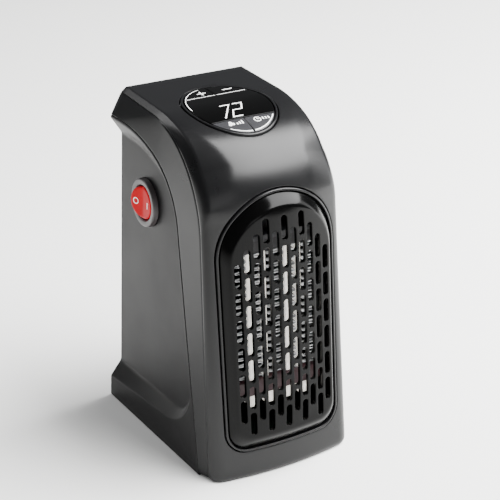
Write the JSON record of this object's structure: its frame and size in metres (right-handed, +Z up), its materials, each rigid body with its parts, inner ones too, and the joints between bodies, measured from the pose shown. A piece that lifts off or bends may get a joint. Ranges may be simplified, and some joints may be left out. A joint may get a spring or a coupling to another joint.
{
  "type": "plug-in fan heater",
  "caption": "Small upright fan heater that plugs straight into a wall outlet, with a slotted front grille, side rocker switch, key panel on top and swivelling plug behind.",
  "frame": {"origin": "middle of the plug's face, where it meets the wall outlet's plate", "axes": "+Z up, +Y into the wall along the plug's blades, +X to the right of someone facing the heater"},
  "size_m": [0.09, 0.1203, 0.1606],
  "materials": {
    "charcoal": "satin moulded charcoal plastic",
    "black_gloss": "polished black plastic",
    "black_matt": "plain black plastic",
    "key_grey": "smooth dark grey plastic",
    "red_lens": "translucent red plastic, lit from inside",
    "ceramic": "bare white ceramic",
    "aluminium": "bare aluminium sheet",
    "steel": "zinc plated steel",
    "brass": "bare brass",
    "circuit_board": "green solder mask on glass-fibre board",
    "duct_plastic": "plain heat-resistant black plastic",
    "fan_plastic": "plain pale plastic",
    "relay_plastic": "smooth blue plastic",
    "lead_insulation": "red silicone insulation"
  },
  "bodies": {
    "housing": {"base_plate": "charcoal", "capacitor": "black_matt", "ceramic_bar_1": "ceramic", "ceramic_bar_2": "ceramic", "ceramic_bar_3": "ceramic", "ceramic_bar_4": "ceramic", "control_board": "circuit_board", "digit_display": "black_matt", "display_lens": "black_gloss", "display_ring": "charcoal", "element_lead_left": "lead_insulation", "element_lead_right": "lead_insulation", "fan_duct": "duct_plastic", "fan_motor": "steel", "fin_pack_1": "aluminium", "fin_pack_2": "aluminium", "fin_pack_3": "aluminium", "fin_pack_4": "aluminium", "fin_pack_5": "aluminium", "front_shell": "charcoal", "holder_bottom": "ceramic", "holder_top": "ceramic", "motor_lead_left": "lead_insulation", "motor_lead_right": "lead_insulation", "outlet_grille": "black_gloss", "outlet_ring": "charcoal", "power_board": "circuit_board", "power_relay": "relay_plastic", "rear_cover": "charcoal", "rear_cover_screw_1": "steel", "rear_cover_screw_2": "steel", "rear_cover_screw_3": "steel", "rear_cover_screw_4": "steel", "retainer_screw_1": "steel", "retainer_screw_2": "steel", "retainer_screw_3": "steel", "side_panel_left": "charcoal", "side_panel_right": "charcoal", "switch_housing": "black_matt", "switch_terminal_front": "brass", "switch_terminal_rear": "brass", "tact_switch_minus": "black_matt", "tact_switch_plus": "black_matt", "tact_switch_speed": "black_matt", "tact_switch_timer": "black_matt", "temperature_sensor": "black_matt", "thermal_cutout": "black_matt", "turntable_retainer": "steel"},
    "rocker": {"power_rocker": "red_lens"},
    "plus": {"plus_key": "key_grey"},
    "minus": {"minus_key": "key_grey"},
    "speed": {"speed_key": "key_grey"},
    "timer": {"timer_key": "key_grey"},
    "fan": {"fan_impeller": "fan_plastic", "motor_shaft": "steel"},
    "plug": {"plug_turntable": "black_matt", "line_blade": "brass", "neutral_blade": "brass", "ground_pin": "brass"}
  },
  "joints": [
    {"name": "rocker_tilt", "type": "hinge", "parent": "housing", "child": "rocker", "pos_m": [-0.03564, -0.02806, -0.0104], "axis": [0.0471, 0.0012, 0.9989], "range_deg": [-22, 0]},
    {"name": "plus_press", "type": "slide", "parent": "housing", "child": "plus", "axis": [0, 0, -1], "range_m": [0, 0.0008], "stiffness_N_per_m": 1500},
    {"name": "minus_press", "type": "slide", "parent": "housing", "child": "minus", "axis": [0, 0, -1], "range_m": [0, 0.0008], "stiffness_N_per_m": 1500},
    {"name": "speed_press", "type": "slide", "parent": "housing", "child": "speed", "axis": [0, 0, -1], "range_m": [0, 0.0008], "stiffness_N_per_m": 1500},
    {"name": "timer_press", "type": "slide", "parent": "housing", "child": "timer", "axis": [0, 0, -1], "range_m": [0, 0.0008], "stiffness_N_per_m": 1500},
    {"name": "fan_spin", "type": "hinge", "parent": "housing", "child": "fan", "pos_m": [0, -0.059, -0.0475], "axis": [0, -1, 0], "continuous": true},
    {"name": "plug_swivel", "type": "hinge", "parent": "housing", "child": "plug", "pos_m": [0, 0, 0], "axis": [0, 1, 0], "range_deg": [-90, 90]}
  ]
}
